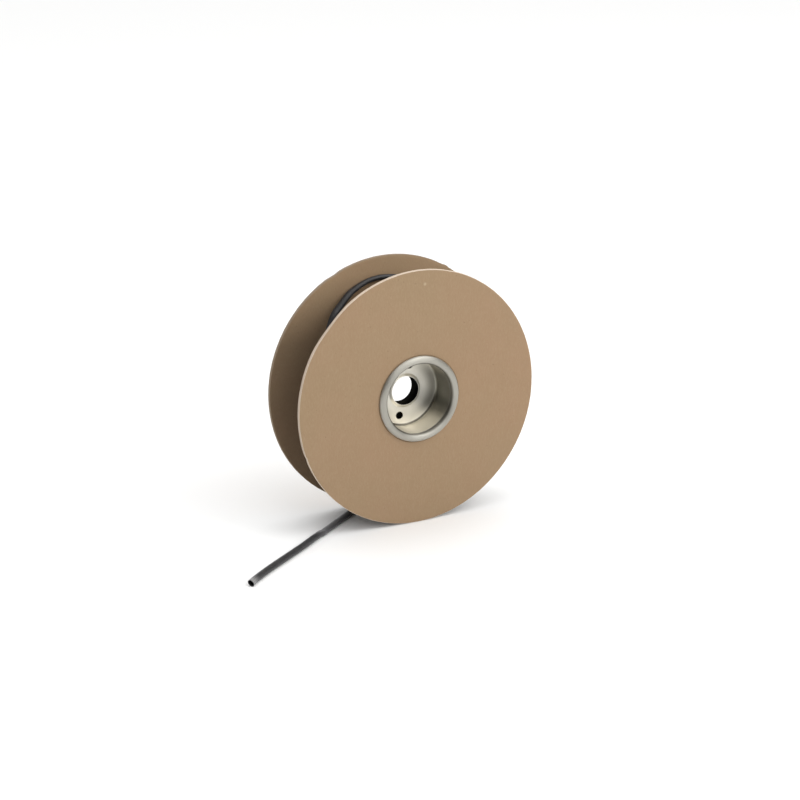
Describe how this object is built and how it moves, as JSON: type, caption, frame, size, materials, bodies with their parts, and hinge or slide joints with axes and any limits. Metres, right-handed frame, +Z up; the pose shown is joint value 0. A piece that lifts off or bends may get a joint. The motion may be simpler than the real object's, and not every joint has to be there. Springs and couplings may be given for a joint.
{
  "type": "reel of heat shrink tubing",
  "caption": "Flanged fibreboard reel with drawn metal hub cups, wound with black heat shrink tubing whose free end runs out along the floor beside it.",
  "frame": {"origin": "on the floor, below the middle of the reel's axle", "axes": "+Y along the axle from the front flange to the rear flange, +Z up, +X to the right seen from the front"},
  "size_m": [0.27, 0.1157, 0.2031],
  "materials": {
    "fibreboard": "smooth brown kraft fibreboard with paler cut edges",
    "core_paper": "plain wound paper",
    "plated_steel": "satin tin-plated pressed sheet",
    "black_tubing": "satin black"
  },
  "bodies": {
    "root": {"front_flange": "fibreboard", "rear_flange": "fibreboard", "core_tube": "core_paper", "front_hub": "plated_steel", "rear_hub": "plated_steel", "tube_winding": "black_tubing", "tube_tail": "black_tubing"}
  },
  "joints": []
}
